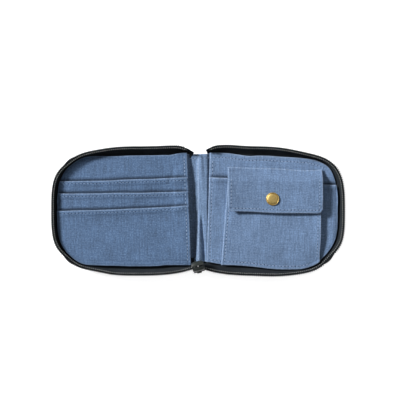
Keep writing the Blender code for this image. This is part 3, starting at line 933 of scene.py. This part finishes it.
def build_card_pockets():
    xs = columns(CARD_LEFT, -CARD_EDGE, round_left=True)
    mouths = [tier_mouth(left_y, right_y) for _, left_y, right_y in POCKET_TIERS]
    panel = sheet(
        "card_panel_cloth", xs, panel_low, panel_high,
        lambda x, y, d: PANEL_TOP + card_lie(x, y) + groove(d[1], SIDE_SEAM)
        + dip_behind(mouths, x, y), canvas_card_painted_shade, warp=lean_cards,
        # Painted shade behind the mouths and beside the walls, and along the upper edge toward
        # the upper-left corner.
        shade=lambda x, y, d: max(painted_shade(mouths, x, y, d, 1), 0.45 * smooth(4 - d[3], 0, 4)
                                  * smooth(-50 - x, 0, 30)))
    fasten(panel, "blue_canvas", ["card_panel"], drape, -1)
    layers = [(panel, None)]
    height = PANEL_TOP
    for k, (name, _, _) in enumerate(POCKET_TIERS):
        height += LAYER_STEP

        def top(x, y, d, height=height, k=k):
            share = d[0] / (d[0] + d[1])
            gape = MOUTH_GAPE * max(0.0, math.sin(math.pi * share)) ** 0.5
            gape *= smooth(9 - d[3], 0, 9)
            doubled = hem(d[3], HEM_DEPTH + 0.5) * smooth(d[1], -2, 6)
            seams = groove(d[3], SEAM_INSET, 0.2) + groove(d[1], SIDE_SEAM)
            seams += groove(d[2], 3.0, 0.3)
            dip = dip_behind(mouths[k + 1:], x, y)
            return height + card_lie(x, y) + gape + doubled + seams + dip

        obj = sheet(name + "_cloth", xs, panel_low, mouths[k], top, canvas_card_painted_shade,
                    depth=lambda x, y, d: CLOTH + hem(d[3], HEM_DEPTH + 0.5), warp=lean_cards,
                    # Painted shade behind the mouths in front and beside the walls.
                    shade=lambda x, y, d, k=k: painted_shade(mouths[k + 1:], x, y, d, 1))
        fasten(obj, "blue_canvas", [name], drape, -1)
        layers.append((obj, mouths[k]))
    mouth_sewing = Stitching("mouth_stitching", mouth_thread)
    for obj, mouth in layers[1:]:
        tree = tree_of(obj)
        line = [(x, mouth(x) - SEAM_INSET) for x in np.linspace(CARD_LEFT + 3, -12.5, 60)]
        mouth_sewing.sew(tree, line, warp=lean_cards)
    sewing = Stitching("card_stitching")
    edge = -CARD_EDGE - SIDE_SEAM
    tiers = [panel_high(edge) - 1.5] + [mouth(edge) for _, mouth in layers[1:]]
    tiers.append(panel_low(edge) + 1.5)
    for (obj, _), upper, lower in zip(layers, tiers, tiers[1:]):
        sewing.sew(tree_of(obj), [(edge, upper - 0.8), (edge, lower + 1.2)],
                   warp=lean_cards)
    mouth_sewing.fasten("blue_canvas", drape, -1)
    sewing.fasten("blue_canvas", drape, -1)


# ---- the coin half

COIN_EDGE = FOLD_X + 0.4
COIN_RIGHT = PANELS[1].reach - EDGE_GAP
SLIP_LEFT_Y, SLIP_RIGHT_Y = 25.2, 19.4
POUCH_LOW, POUCH_HIGH = span("pouch_front")
FLAP_LOW, FLAP_HIGH = span("coin_flap")
SNAP = (span("snap_cap")[0] + span("snap_cap")[1]) / 2
POUCH_EDGE_TOP = 6.4
POUCH_CROWN = 2.1
POUCH_SEAM = 2.4
PANEL_SEAM = 3.4
POUCH_BACK_TOP = span("pouch_back")[1].z
POUCH_LIMIT = Outline(2.6)


def slip_edge(x):
    share = (x - COIN_EDGE) / (COIN_RIGHT - COIN_EDGE)
    return min(SLIP_LEFT_Y + (SLIP_RIGHT_Y - SLIP_LEFT_Y) * share, panel_high(x))


def build_coin_panels():
    xs = columns(COIN_EDGE, COIN_RIGHT, round_right=True)
    panel = sheet(
        "coin_panel_cloth", xs, panel_low, panel_high,
        lambda x, y, d: PANEL_TOP + coin_lie(x, y) + groove(d[3], PANEL_SEAM, 0.3)
        + dip_behind([slip_edge], x, y), canvas, warp=lean_coins,
        # Painted shade behind the slip pocket's mouth and beside the walls.
        shade=lambda x, y, d: painted_shade([slip_edge], x, y, d, 0))

    def slip_top(x, y, d):
        gape = 0.5 * smooth(7 - d[3], 0, 7) * smooth(d[0], 1, 7)
        seams = groove(d[0], SIDE_SEAM) + groove(d[2], SIDE_SEAM)
        return SLIP_TOP + coin_lie(x, y) + hem(d[3]) + seams + gape

    slip = sheet("slip_pocket_cloth", xs, panel_low, slip_edge, slip_top, canvas,
                 depth=lambda x, y, d: CLOTH + hem(d[3]), warp=lean_coins,
                 # Painted shade beside the walls.
                 shade=lambda x, y, d: painted_shade([], x, y, d, 0))
    sewing = Stitching("panel_stitching")
    left = COIN_EDGE + SIDE_SEAM
    top_xs = np.linspace(COIN_EDGE + 2, 97, 80)
    for obj, line in (
            (panel, [(x, panel_high(x) - PANEL_SEAM) for x in top_xs]),
            (panel, [(left, 38.5), (left, slip_edge(left) + 2)]),
            (slip, [(left, slip_edge(left) - 1), (left, panel_low(left) + SIDE_SEAM)]),
            (slip, [(x, panel_low(x) + SIDE_SEAM) for x in np.linspace(left, 24, 8)])):
        sewing.sew(tree_of(obj), line, warp=lean_coins)
    sewing.fasten("blue_canvas", drape, 1)
    fasten(panel, "blue_canvas", ["coin_panel"], drape, 1)
    fasten(slip, "blue_canvas", ["slip_pocket"], drape, 1)


def pouch_left(y):
    """The pouch's left edge leans outward toward the bottom."""
    share = (y - POUCH_LOW.y) / (POUCH_HIGH.y - POUCH_LOW.y)
    return POUCH_LOW.x + (23.1 - POUCH_LOW.x) * share


def pouch_low(x):
    """The pouch's bottom edge dips toward the right, then is cut off along the zip."""
    share = (x - POUCH_LOW.x) / (POUCH_HIGH.x - POUCH_LOW.x)
    return max(-41.9 - 3.2 * smooth(share, 0.05, 0.75), POUCH_LIMIT.low(x))


def pouch_height(x, y, d):
    left, right, low, _ = d
    crown = POUCH_CROWN * smooth(left, -4, 34) * smooth(low, -2, 22)
    crown += 0.6 * smooth(7 - right, 0, 7)
    seams = groove(left, SIDE_SEAM) + groove(low, POUCH_SEAM) + groove(right, SIDE_SEAM, 0.18)
    sag = -0.25 * bell(x, 70, 18) * bell(y, -22, 12)
    return POUCH_EDGE_TOP + crown + seams + sag + 0.8 * ripple(x, y, 6.4)


def build_pouch():
    left = POUCH_LOW.x
    right = POUCH_HIGH.x
    flat_xs = columns(left, right, round_right=True)
    front = sheet(
        "pouch_front_cloth", flat_xs, pouch_low, lambda x: POUCH_HIGH.y,
        pouch_height, canvas, thickness=0.6,
        # Painted shade, darker toward the pouch's left edge.
        shade=lambda x, y, d: 0.12 * smooth(60 - d[0], 0, 60))
    back = sheet(
        "pouch_back_cloth", flat_xs, lambda x: pouch_low(x) + 1.0,
        lambda x: POUCH_HIGH.y + 1.5,
        lambda x, y, d: POUCH_BACK_TOP + 0.15 * ripple(x, y, 2), canvas_lining, thickness=0.4)
    for obj, node in ((front, "pouch_front"), (back, "pouch_back")):
        for vertex in obj.data.vertices:
            x, y = vertex.co.x / MM, vertex.co.y / MM
            share = (right - x) / (right - left)
            vertex.co.x = (x + (pouch_left(y) - left) * share) * MM
        fasten(obj, "blue_canvas", [node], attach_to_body, "coin_half")
    build_gusset(front, left, right)
    sewing = Stitching("pouch_stitching")
    tree = tree_of(front)
    bottom = pouch_low(left + SIDE_SEAM) + POUCH_SEAM
    low_seam = [(x, pouch_low(x) + POUCH_SEAM) for x in np.linspace(left + 4, right - 9, 40)]
    for line in ([(pouch_left(y) + SIDE_SEAM, y) for y in (1, bottom)], low_seam,
                 [(right - SIDE_SEAM, y) for y in (-2, -37)]):
        sewing.sew(tree, line)
    sewing.fasten("blue_canvas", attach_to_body, "coin_half")


def build_gusset(front, left, right):
    """The pouch's side wall, folded inward like a bellows."""
    corners = [Vector((right - 0.5, POUCH_HIGH.y))]
    corners += [Vector((right - 0.5, y)) for y in np.linspace(18, -34, 20)]
    corners += [Vector((x, pouch_low(x) + 0.7)) for x in np.linspace(right - 2.5, left + 2, 40)]
    corners += [Vector((pouch_left(y) + 0.7, y)) for y in np.linspace(-38, 23, 20)]
    path = resample(corners, 1.5)
    tree = tree_of(front)
    floor = POUCH_BACK_TOP + 0.1
    rings = []
    uvs = []
    for i, (here, inside) in enumerate(zip(path, inward(path))):
        probe = here + inside * 1.2
        above = rest_on(tree, probe.x, probe.y)
        roof = (above.z if above else POUCH_EDGE_TOP) - 0.75
        tall = max(roof - floor, 0.25)
        fold = min(1.7, tall * 0.75)
        section = [(0.25 + fold * math.sin(math.pi * t) ** 1.2, floor + tall * t)
                   for t in np.linspace(0, 1, 7)]
        section += [(u + 0.4, z) for u, z in reversed(section)]
        rings.append([(here.x + inside.x * u, here.y + inside.y * u, z) for u, z in section])
        uvs.append([(1.5 * i, 0.9 * k) for k in range(14)])
    gusset = loft("pouch_gusset_cloth", rings, canvas_lining, uvs)
    fasten(gusset, "blue_canvas", ["pouch_gusset"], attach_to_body, "coin_half")


FLAP_CLOTH = 0.55
FLAP_HEM = 0.25
FLAP_HEM_DEPTH = 3.6
FLAP_SEAM = 2.3
FLAP_ROUND = 4.2


def flap_low(x):
    """The flap's lower edge, a little lower on the right, with rounded corners."""
    share = (x - FLAP_LOW.x) / (FLAP_HIGH.x - FLAP_LOW.x)
    edge = -0.5 - 2.0 * share + 0.25 * math.sin(share * 9)
    corner = max(0.0, min(x - FLAP_LOW.x, FLAP_HIGH.x - x))
    if corner < FLAP_ROUND:
        edge += FLAP_ROUND - math.sqrt(FLAP_ROUND ** 2 - (FLAP_ROUND - corner) ** 2)
    return edge


def flap_hem(d):
    return FLAP_HEM * smooth(FLAP_HEM_DEPTH - min(d[:3]), 0, 0.6)


def flap_height(x, y, d):
    left, right, low, high = d
    root = PANEL_TOP + 1.5
    climb = smooth(high, 0.0, 10.5)
    across = smooth(left, -6, 30) * 0.09 + 0.91
    drop_right = 0.3 * smooth(9 - right, 0, 9)
    crown = FLAP_TOP - 0.1 - root
    z = root + crown * climb * across - drop_right * climb
    z -= 0.15 * smooth(10 - low, 0, 10)
    hug = bell(math.hypot(x - SNAP.x, y - SNAP.y), 0, 9)
    flat = FLAP_TOP - 0.05
    z = z * (1 - hug) + flat * hug
    seams = groove(left, FLAP_SEAM) + groove(right, FLAP_SEAM) + groove(low, FLAP_SEAM)
    seams += flap_hem(d)
    wave = 0.22 * math.sin(x / 9.0 + 0.8) * smooth(9 - low, 0, 9)
    return z + seams + (wave + 0.45 * ripple(x, y, 9.7)) * (1 - hug)


def hang(obj):
    """Bake the transform of a piece of the flap into its mesh."""
    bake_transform(obj)


def build_flap():
    xs = columns(FLAP_LOW.x, FLAP_HIGH.x, 1.0, round_left=True, round_right=True)
    flap = sheet("coin_flap_cloth", xs, flap_low, lambda x: FLAP_HIGH.y, flap_height, canvas,
                 step=1.0, depth=lambda x, y, d: FLAP_CLOTH + flap_hem(d),
                 # Painted shade, darker toward the flap's left edge.
                 shade=lambda x, y, d: 0.24 * smooth(46 - d[0], 0, 46))
    fasten(flap, "blue_canvas", ["coin_flap"], hang)
    sewing = Stitching("flap_stitching")
    left = FLAP_LOW.x + FLAP_SEAM
    right = FLAP_HIGH.x - FLAP_SEAM
    bottom = []
    for x in np.linspace(left + 0.5, right - 0.5, 50):
        edge = flap_low(min(max(x, FLAP_LOW.x + 3.5), FLAP_HIGH.x - 3.5))
        bottom.append((x, edge + FLAP_SEAM))
    for line in ([(left, 30), (left, 2.6)], bottom, [(right, 1.0), (right, 30)]):
        sewing.sew(tree_of(flap), line)
    sewing.fasten("blue_canvas", hang)


# ---- zip

TOOTH_PITCH = 1.65
COIL_ACROSS = 1.1
COIL_RISE = 0.50
COIL_WIRE = 0.38
STACKING = 0.23
BEAD_INSET = 0.95
BEAD_HALF = 0.27
TAPE_THICK = 0.42
TAPE_STEP = 1.2
TAPE_END_BOTTOM = 0.3
COIL_END_BOTTOM = 3.2
COIL_END_TOP = 10.2
TAIL_START = 13.0
TAPE_ENDS = {-1: 3.4, 1: 6.2}
CHAIN_Z = CREST - COIL_WIRE - COIL_RISE


def tape_profile(p, side):
    """Cross-section of the tape at p as (inset, z), with the ribbed outer face last."""
    foot = wall_width(p, side) - 0.7
    if p.y > 0:
        foot *= 0.3 + 0.7 * smooth(-p.x, 9, 26)
    else:
        foot *= 0.80 + 0.20 * smooth(-p.x, 6, 22)
    bulge = 0.25 * noise.noise(Vector((p.x / 15, p.y / 15, 3.3 * side)))
    section = [Vector(point) for point in (
        (foot + 2.6, 2.72), (foot + 0.5, 2.74), (foot * 0.86, 3.05),
        (foot * (0.64 + bulge), 3.9), (foot * (0.42 + bulge), 5.0),
        (foot * (0.22 + bulge / 2), 6.3), (foot * 0.06 - 0.2, 7.6), (-0.35, 8.8),
        (-0.35, CHAIN_Z))]
    outer = [point - normal * TAPE_THICK for point, normal in zip(section, inward(section))]
    return section + outer[::-1]


def tape_piece(name, side, line):
    rings = []
    uvs = []
    for i, (p, n) in enumerate(zip(line, inward(line))):
        profile = tape_profile(p, side)
        rings.append([(-side * (p.x + n.x * u), p.y + n.y * u, z) for u, z in profile])
        half = len(profile) // 2
        across = list(range(half)) + list(range(half - 1, -1, -1))
        uvs.append([(i * TAPE_STEP, 1.3 * k) for k in across])
    return loft(name, rings, tape_cloth, uvs)


def build_zip(side):
    label = HALVES[side]
    line = resample(outline_points(TAPE_END_BOTTOM, TAPE_ENDS[side]), TAPE_STEP)
    split = next(i for i, p in enumerate(line) if p.y > 0 and p.x > -TAIL_START)
    fasten(tape_piece("tape_tail_" + label, side, line[split:]), "zip_tape", (), bend, side)
    fasten(tape_piece("tape_" + label, side, line[:split + 1]), "zip_tape",
           ["zip_tape_" + label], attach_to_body, label + "_half")
    coil = loft("coil_" + label, coil_rings(side), coil_nylon)
    fasten(coil, "zip_coil", ["zip_coil_" + label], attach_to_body, label + "_half")
    # Pale beads: the coil's sewing thread, coloured as painted highlights.
    sewing = Stitching("coil_sewing_" + label, coil_thread, coil_thread, radius=0.36)
    beads = resample(outline_points(COIL_END_BOTTOM, COIL_END_TOP), TOOTH_PITCH)
    for p, n in zip(beads, inward(beads)):
        points = []
        for half in (-BEAD_HALF, BEAD_HALF):
            x = p.x + n.x * BEAD_INSET + n.y * half
            y = p.y + n.y * BEAD_INSET - n.x * half
            points.append(Vector((*settle(-side * x, y), CHAIN_Z + COIL_RISE)))
        sewing.stitch(points[0], points[1], ALONG_Z)
    sewing.fasten("zip_tape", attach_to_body, label + "_half")


def coil_rings(side, per_turn=14, sides=6):
    """A continuous nylon coil, one turn for each tooth, with per_turn rings to a turn."""
    path = resample(outline_points(COIL_END_BOTTOM, COIL_END_TOP), TOOTH_PITCH / per_turn)
    normals = inward(path)
    centres = []
    for i in range(len(path) - 1):
        angle = 2 * math.pi * i / per_turn
        # the wire moves on to the next tooth on its inner side, so both legs stand in line
        at = min(max(i + STACKING * per_turn * math.sin(angle), 0), len(path) - 1.001)
        here = int(at)
        p = path[here].lerp(path[here + 1], at - here)
        n = normals[here]
        u = COIL_ACROSS * math.cos(angle)
        z = CHAIN_Z + COIL_RISE * math.sin(angle)
        centres.append(Vector((p.x + n.x * u, p.y + n.y * u, z)))
    rings = []
    for centre, along in zip(centres, directions(centres)):
        first = along.cross(Vector((0.3, 0.2, 1))).normalized()
        second = along.normalized().cross(first)
        ring = circle(centre, first, second, COIL_WIRE, sides)
        rings.append([(-side * point.x, point.y, point.z) for point in ring])
    return rings


# ---- metal parts

def turned(name, profile, body, node):
    """Spin a closed (radius, z) profile about the snap's axis."""
    bm = bmesh.new()
    verts = [bm.verts.new((radius * MM, 0, z * MM)) for radius, z in profile]
    edges = [bm.edges.new(pair) for pair in zip(verts, verts[1:])]
    if min(radius for radius, _ in profile) > 0:
        edges.append(bm.edges.new((verts[-1], verts[0])))
    bmesh.ops.spin(bm, geom=verts + edges, cent=(0, 0, 0), axis=(0, 0, 1),
                   angle=2 * math.pi, steps=72, use_merge=True)
    bmesh.ops.remove_doubles(bm, verts=bm.verts, dist=0.000002)
    bmesh.ops.translate(bm, verts=bm.verts, vec=(SNAP.x * MM, SNAP.y * MM, 0))
    obj = add_mesh(name, bm, brass)
    obj.data.set_sharp_from_angle(angle=math.radians(50))
    fasten(obj, "brass", [node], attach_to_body, body)


SNAP_BORE = 1.3


def build_snap():
    low, high = span("snap_cap")
    rim = (high.x - low.x) / 2
    base = high.z - 1.4
    dome = [(0.0, high.z)]
    for i in range(1, 13):
        angle = math.pi / 2 * i / 12
        dome.append(((rim - 0.8) * math.sin(angle),
                     base + 0.45 + 0.95 * max(0.0, math.cos(angle)) ** 0.5))
    roll = []
    for i in range(10):
        angle = math.pi * (1.0 - 1.45 * i / 9)
        roll.append((rim - 0.36 + 0.36 * math.cos(angle), base + 0.42 + 0.36 * math.sin(angle)))
    stem = [(rim - 0.6, base), (1.0, base), (1.0, low.z), (0.0, low.z)]
    turned("snap_cap_dome", dome[:-1] + roll + stem, "flap", "snap_cap")
    for node, body in (("snap_socket", "flap"), ("snap_stud", "coin_half"),
                       ("snap_post", "coin_half")):
        low, high = span(node)
        outer = (high.x - low.x) / 2
        if node == "snap_socket":
            profile = [(SNAP_BORE, high.z), (outer - 0.5, high.z), (outer - 0.15, high.z - 0.15),
                       (outer, high.z - 0.5), (outer, low.z + 0.3), (outer - 0.2, low.z),
                       (2.7, low.z), (2.4, low.z + 0.3), (2.4, high.z - 0.4),
                       (SNAP_BORE, high.z - 0.4)]
        elif node == "snap_stud":
            profile = [(SNAP_BORE, high.z), (1.6, high.z), (1.9, high.z - 0.15),
                       (2.0, high.z - 0.4), (1.9, high.z - 0.7), (1.7, high.z - 0.9),
                       (1.75, low.z + 0.5), (2.1, low.z + 0.4), (outer - 0.2, low.z + 0.4),
                       (outer, low.z + 0.2), (outer - 0.1, low.z), (SNAP_BORE, low.z)]
        else:
            profile = [(0.0, high.z), (0.8, high.z), (1.0, high.z - 0.2), (1.0, low.z + 0.5),
                       (1.3, low.z + 0.4), (outer - 0.2, low.z + 0.4), (outer, low.z + 0.2),
                       (outer - 0.15, low.z), (0.0, low.z)]
        turned(node + "_ring", profile, body, node)


PULL_JOINT = joint("pull_swing")
TILT = math.atan2(-PULL_JOINT["axis"][1], -PULL_JOINT["axis"][0])
BRIDGE = 4.1
SLIDER_HALF = 4.75
CHANNEL_WALL = 1.15
SLOT = 0.5
SLIDER_MOUTH = 2.8
SLIDER_BELLY = 4.1


def metal_piece(name, parts, body, node):
    """One object of several closed lofts given as lists of rings in the slider's own axes:
    X along the chain, Y across the plates.
    """
    turn = Matrix.Rotation(TILT, 4, "Z")
    centre = Vector(PULL_JOINT["pos_m"]) / MM + turn @ Vector((0, BRIDGE, 0))
    place = Matrix.Translation(centre) @ turn
    store = ([], [])
    for rings in parts:
        add_rings(store, [[place @ Vector(p) for p in ring] for ring in rings])
    obj = make(name, *store, slider_enamel, warp=None)
    obj.data.set_sharp_from_angle(angle=math.radians(48))
    fasten(obj, "black_metal", [node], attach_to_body, body)


def slider_shell(side):
    """One plate of the slider, curled in along its upper and lower edge."""
    rings = []
    for t in (-1, -0.97, -0.9, -0.78, -0.6, -0.35, 0, 0.35, 0.6, 0.78, 0.9, 0.97, 1):
        ends = (1 - abs(t) ** 2.6) ** 0.42
        wide = SLIDER_MOUTH + (SLIDER_BELLY - SLIDER_MOUTH) * ends
        tall = (4.0 - 0.6 * smooth(t, 0.0, 0.9)) - 0.3 * (1 - ends)
        wall = CHANNEL_WALL - 0.45 * (1 - ends)
        faces = []
        for skin in (0.0, wall):
            face = []
            for k in range(15):
                angle = math.pi * (k / 14 - 0.5)
                bend_in = max(0.0, math.cos(angle)) ** 0.62
                face.append((SLIDER_HALF * t, side * (SLOT + (wide - skin - SLOT) * bend_in),
                             (tall - skin) * math.sin(angle)))
            faces.append(face)
        rings.append(faces[0] + faces[1][::-1])
    return rings


def rounded_bar(start, end, half, sides=12, power=4.0):
    """Rings of a bar whose section is a soft rectangle of half sizes half[0] by half[1]."""
    start = Vector(start)
    end = Vector(end)
    along = (end - start).normalized()
    first = along.orthogonal().normalized()
    if abs(along.y) < 0.9:
        first = (Vector((0, 1, 0)) - along * along.y).normalized()
    second = along.cross(first)
    rings = []
    for share, size in ((0, 0.8), (0.04, 0.95), (0.1, 1.0), (0.9, 1.0), (0.96, 0.95), (1, 0.8)):
        ring = []
        for k in range(sides):
            c, d = squared(2 * math.pi * (k + 0.5) / sides, power)
            spot = start + (end - start) * share
            ring.append(spot + first * c * half[0] * size + second * d * half[1] * size)
        rings.append(ring)
    return rings


def build_slider():
    bar = 0.5
    parts = [slider_shell(-1), slider_shell(1)]
    parts.append(rounded_bar((-2.6, -2.4, 0), (-2.6, 2.4, 0), (1.4, 0.32)))
    for x in (-3.6, 3.6):
        parts.append(rounded_bar((x, -BRIDGE - bar, 0), (x, -2.0, 0), (0.5, 0.55)))
    parts.append(rounded_bar((-4.0, -BRIDGE, 0), (4.0, -BRIDGE, 0), (bar, bar), 12, 2.2))
    metal_piece("slider_body", parts, "slider", "zip_slider")

    eye = []
    for x, radius in ((-1.9, 1.2), (-1.8, 1.32), (-1.6, 1.38), (1.6, 1.38), (1.8, 1.32),
                      (1.9, 1.2), (1.9, 0.85), (-1.9, 0.85)):
        eye.append(circle(Vector((x, -BRIDGE, 0)), ALONG_Y, ALONG_Z, radius, 24))
    tab = []
    for z, wide, thick in ((-1.15, 1.6, 0.35), (-1.6, 1.75, 0.5), (-2.6, 1.8, 0.55),
                           (-4.5, 2.1, 0.5), (-7.5, 2.4, 0.5), (-9.0, 2.45, 0.5),
                           (-9.9, 2.15, 0.48), (-10.4, 1.5, 0.42), (-10.6, 0.8, 0.3)):
        corners = [squared(2 * math.pi * (k + 0.5) / 16, 2 / 0.45) for k in range(16)]
        tab.append([(wide * c, -BRIDGE + thick * d, z) for c, d in corners])
    metal_piece("slider_pull", [eye, tab], "pull", "zip_pull")


# ---- stage

FLOOR_Z = -0.0002
VIEW_WIDTH = 308.0
VIEW_PLANE_Z = 6.0
VIEW_CENTRE = (1.5, 8.1)


def build_stage():
    scene = bpy.context.scene
    scene.view_settings.view_transform = "Standard"
    scene.view_settings.look = "None"
    floor_mesh = bpy.data.meshes.new("floor")
    corners = ((-3, -3), (3, -3), (3, 3), (-3, 3))
    floor_mesh.from_pydata([(x, y, FLOOR_Z) for x, y in corners], [], [(0, 1, 2, 3)])
    white = Graph("floor_white", 0.9)
    floor_mesh.materials.append(white.finish(
        (0.85, 0.85, 0.85), Emission_Color=(1, 1, 1), Emission_Strength=0.85))
    add_object("floor", floor_mesh)

    world = bpy.data.worlds.new("studio")
    scene.world = world
    world.use_nodes = True
    sky = world.node_tree.nodes["Background"]
    sky.inputs["Color"].default_value = (1.0, 1.0, 1.0, 1)
    sky.inputs["Strength"].default_value = 0.145

    for name, place, size, power in (("key", (-1.9, 1.0, 1.45), 0.45, 98.0),
                                     ("fill", (0.7, 0.3, 1.2), 1.2, 2.2)):
        data = bpy.data.lights.new(name, "AREA")
        data.size = size
        data.energy = power
        light = add_object(name, data)
        light.location = place
        light.rotation_euler = (-Vector(place)).to_track_quat("-Z", "Y").to_euler()

    data = bpy.data.cameras.new("camera")
    data.lens = 100
    data.sensor_width = 36
    scene.camera = add_object("camera", data)
    distance = VIEW_WIDTH * data.lens / data.sensor_width
    scene.camera.location = Vector((*VIEW_CENTRE, distance + VIEW_PLANE_Z)) * MM


build_cover()
build_linings()
build_card_pockets()
build_coin_panels()
build_pouch()
build_flap()
build_zip(-1)
build_zip(1)
build_snap()
build_slider()
for node_name in ("zip_stop_card", "zip_stop_coin"):
    stop_materials = frame["nodes"][node_name].data.materials
    stop_materials.clear()
    stop_materials.append(slider_enamel)
build_stage()
